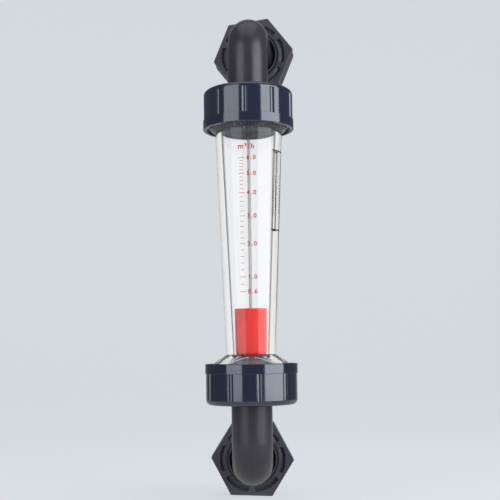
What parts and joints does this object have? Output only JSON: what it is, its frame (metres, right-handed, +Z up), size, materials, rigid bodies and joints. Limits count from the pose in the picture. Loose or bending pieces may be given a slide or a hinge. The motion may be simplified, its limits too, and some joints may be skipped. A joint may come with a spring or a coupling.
{
  "type": "rotameter",
  "caption": "Panel-mounted variable-area flow meter: a clear tapered tube with a red float on a rod, held by ribbed union nuts between two rear-facing threaded elbows.",
  "frame": {"origin": "centre of the inlet leg's open end face, behind the panel", "axes": "+Z up along the metering tube, with the flow; +Y out of the inlet leg towards the back of the panel; the scale faces -Y"},
  "size_m": [0.1209, 0.2135, 0.639],
  "materials": {
    "elbow_plastic": "satin charcoal moulded plastic",
    "nut_plastic": "semi-gloss navy-grey moulded plastic",
    "panel_nut_plastic": "semi-gloss dark blue-grey moulded plastic",
    "clear_plastic": "polished clear acrylic",
    "float_red": "glossy red moulded plastic",
    "sleeve_plastic": "smooth white bearing plastic",
    "bracket_plastic": "smooth dark moulded plastic",
    "rod_steel": "bright drawn stainless steel",
    "weight_steel": "turned stainless steel",
    "seal_rubber": "matt black rubber",
    "gasket_rubber": "matt black rubber"
  },
  "bodies": {
    "lower_elbow": {"lower_elbow": "elbow_plastic", "lower_union_collar": "elbow_plastic", "lower_tube_seal": "seal_rubber", "lower_panel_gasket": "gasket_rubber"},
    "metering_tube": {"metering_tube": "clear_plastic", "guide_rod": "rod_steel", "lower_rod_bracket": "bracket_plastic", "upper_rod_bracket": "bracket_plastic", "lower_rod_nut": "rod_steel", "upper_rod_nut": "rod_steel", "lower_float_stop": "bracket_plastic", "upper_float_stop": "bracket_plastic"},
    "upper_elbow": {"upper_elbow": "elbow_plastic", "upper_union_collar": "elbow_plastic", "upper_tube_seal": "seal_rubber", "upper_panel_gasket": "gasket_rubber"},
    "lower_union_nut": {"lower_union_nut": "nut_plastic"},
    "upper_union_nut": {"upper_union_nut": "nut_plastic"},
    "lower_front_panel_nut": {"lower_front_panel_nut": "panel_nut_plastic"},
    "lower_rear_panel_nut": {"lower_rear_panel_nut": "panel_nut_plastic"},
    "upper_front_panel_nut": {"upper_front_panel_nut": "panel_nut_plastic"},
    "upper_rear_panel_nut": {"upper_rear_panel_nut": "panel_nut_plastic"},
    "float_sleeve": {"float_sleeve": "sleeve_plastic"},
    "float": {"float_body": "float_red", "float_weight": "weight_steel", "float_cap": "float_red"}
  },
  "joints": [
    {"name": "tube_swivel", "type": "hinge", "parent": "lower_elbow", "child": "metering_tube", "pos_m": [0, -0.155, 0.0969], "axis": [0, 0, 1], "continuous": true},
    {"name": "upper_elbow_swivel", "type": "hinge", "parent": "metering_tube", "child": "upper_elbow", "pos_m": [0, -0.155, 0.444], "axis": [0, 0, 1], "continuous": true},
    {"name": "lower_union_nut_turn", "type": "hinge", "parent": "lower_elbow", "child": "lower_union_nut", "pos_m": [0, -0.155, 0.1], "axis": [0, 0, 1], "continuous": true},
    {"name": "upper_union_nut_turn", "type": "hinge", "parent": "upper_elbow", "child": "upper_union_nut", "pos_m": [0, -0.155, 0.44], "axis": [0, 0, 1], "continuous": true},
    {"name": "lower_front_panel_nut_turn", "type": "hinge", "parent": "lower_elbow", "child": "lower_front_panel_nut", "pos_m": [0, -0.053, 0], "axis": [0, 1, 0], "continuous": true},
    {"name": "lower_rear_panel_nut_turn", "type": "hinge", "parent": "lower_elbow", "child": "lower_rear_panel_nut", "pos_m": [0, -0.029, 0], "axis": [0, 1, 0], "continuous": true},
    {"name": "upper_front_panel_nut_turn", "type": "hinge", "parent": "upper_elbow", "child": "upper_front_panel_nut", "pos_m": [0.00818, -0.05333, 0.5409], "axis": [0.0802, 0.9968, 0], "continuous": true},
    {"name": "upper_rear_panel_nut_turn", "type": "hinge", "parent": "upper_elbow", "child": "upper_rear_panel_nut", "pos_m": [0.0101, -0.02941, 0.5409], "axis": [0.0802, 0.9968, 0], "continuous": true},
    {"name": "float_slide", "type": "slide", "parent": "metering_tube", "child": "float_sleeve", "axis": [0, 0, 1], "range_m": [0, 0.2107]},
    {"name": "float_spin", "type": "hinge", "parent": "float_sleeve", "child": "float", "pos_m": [0, -0.155, 0.15], "axis": [0, 0, 1], "continuous": true}
  ]
}
